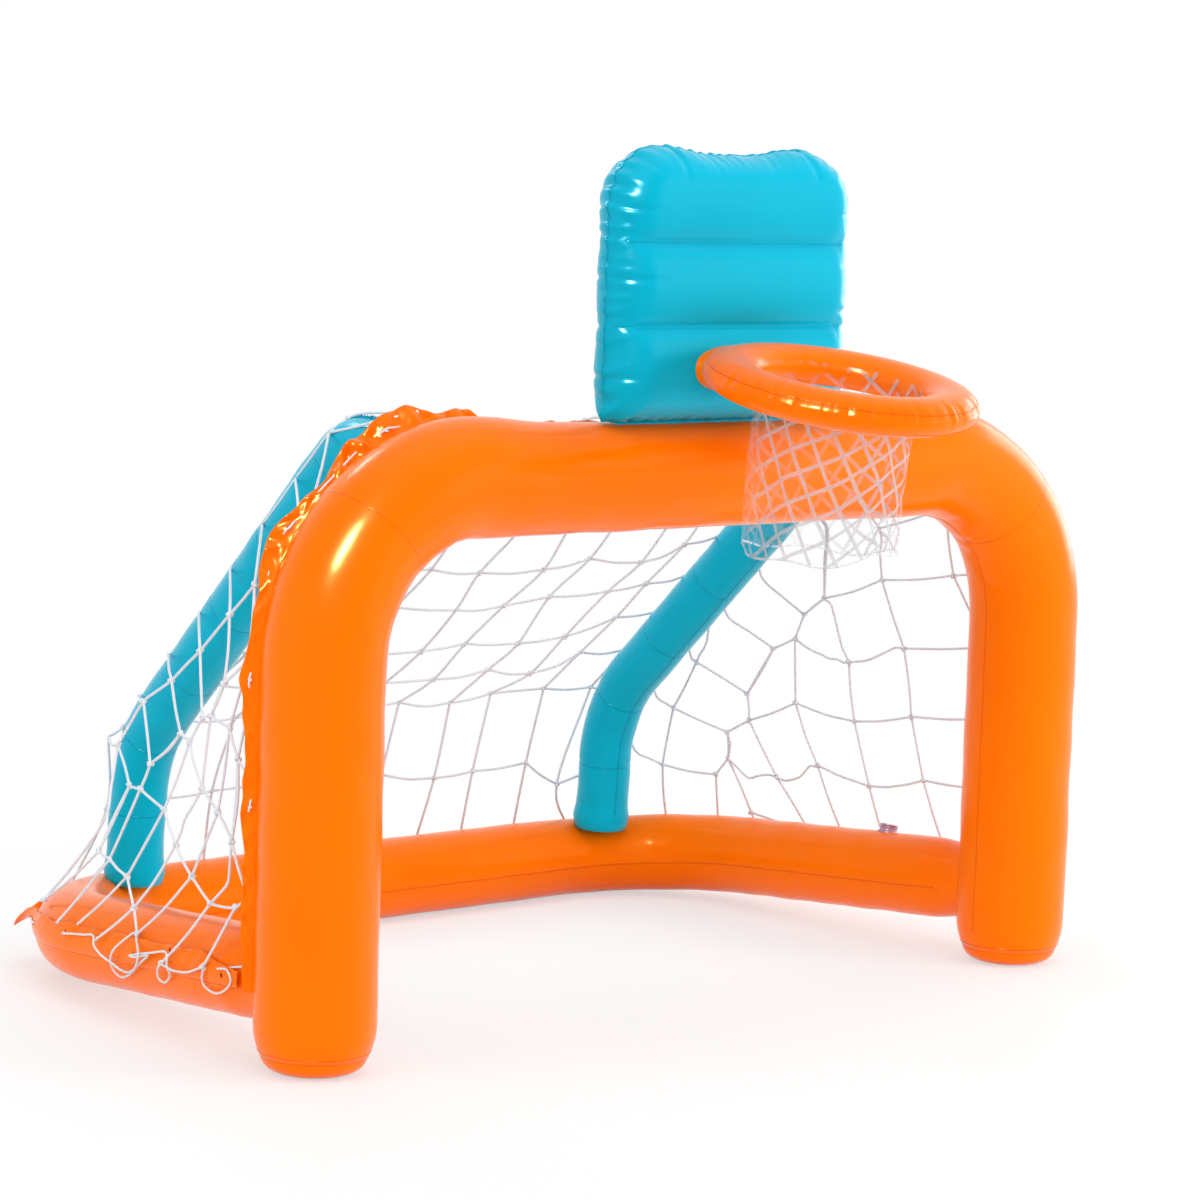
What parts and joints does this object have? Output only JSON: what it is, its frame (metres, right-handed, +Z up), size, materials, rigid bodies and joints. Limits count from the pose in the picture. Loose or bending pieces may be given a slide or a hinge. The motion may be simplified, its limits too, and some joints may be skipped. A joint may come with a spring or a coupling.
{
  "type": "inflatable goal",
  "caption": "Inflatable tube-frame garden goal with a string net, slanting rear struts, a cushion backboard and a hoop with a sleeve",
  "frame": {"origin": "on the ground, in the middle of the goal's width and depth", "axes": "+X to the right seen from the front, +Y towards the back of the goal, +Z up"},
  "size_m": [1.5098, 1.2853, 1.2174],
  "materials": {
    "orange_film": "glossy inflated PVC film, orange",
    "cyan_film": "glossy inflated PVC film, cyan blue",
    "clear_film": "clear PVC film with pale diagonal lines",
    "string": "off-white knotted string",
    "valve": "soft see-through PVC, faintly violet"
  },
  "bodies": {
    "goal_frame": {"front_arch": "orange_film", "leg_cap_left": "orange_film", "leg_cap_right": "orange_film", "base_tube": "orange_film", "strut_left": "cyan_film", "strut_right": "cyan_film", "backboard_weld_strip": "cyan_film", "arch_flap": "orange_film", "base_flap": "orange_film", "arch_lacing_cord": "string", "base_lacing_cord": "string", "net_slope": "string", "net_back": "string", "net_left": "string", "net_right": "string", "arch_valve_collar": "valve", "base_valve_collar": "valve", "strut_left_valve_collar": "valve", "strut_right_valve_collar": "valve"},
    "backboard": {"backboard": "cyan_film", "backboard_valve_collar": "valve"},
    "hoop": {"hoop_ring": "orange_film", "basket_sleeve": "clear_film", "hoop_valve_collar": "valve"},
    "arch_valve_plug": {"arch_valve_plug": "valve"},
    "base_valve_plug": {"base_valve_plug": "valve"},
    "strut_left_valve_plug": {"strut_left_valve_plug": "valve"},
    "strut_right_valve_plug": {"strut_right_valve_plug": "valve"},
    "backboard_valve_plug": {"backboard_valve_plug": "valve"},
    "hoop_valve_plug": {"hoop_valve_plug": "valve"}
  },
  "joints": [
    {"name": "backboard_lean", "type": "hinge", "parent": "goal_frame", "child": "backboard", "pos_m": [0, -0.21544, 0.8434], "axis": [1, 0, 0], "range_deg": [-10, 8], "stiffness_Nm_per_rad": 15, "springref_deg": -0.63},
    {"name": "hoop_tip", "type": "hinge", "parent": "backboard", "child": "hoop", "pos_m": [0, -0.2674, 0.912], "axis": [1, 0, 0], "range_deg": [0, 15], "stiffness_Nm_per_rad": 8, "springref_deg": -1.72},
    {"name": "arch_valve_plug_slide", "type": "slide", "parent": "goal_frame", "child": "arch_valve_plug", "axis": [0, 1, 0], "range_m": [0, 0.012]},
    {"name": "base_valve_plug_slide", "type": "slide", "parent": "goal_frame", "child": "base_valve_plug", "axis": [0.2079, 0, 0.9781], "range_m": [0, 0.012]},
    {"name": "strut_left_valve_plug_slide", "type": "slide", "parent": "goal_frame", "child": "strut_left_valve_plug", "axis": [0, 1, 0], "range_m": [0, 0.012]},
    {"name": "strut_right_valve_plug_slide", "type": "slide", "parent": "goal_frame", "child": "strut_right_valve_plug", "axis": [0, 1, 0], "range_m": [0, 0.012]},
    {"name": "backboard_valve_plug_slide", "type": "slide", "parent": "backboard", "child": "backboard_valve_plug", "axis": [0, 1, 0], "range_m": [0, 0.012]},
    {"name": "hoop_valve_plug_slide", "type": "slide", "parent": "hoop", "child": "hoop_valve_plug", "axis": [0, 0.1822, -0.9833], "range_m": [0, 0.012]}
  ]
}
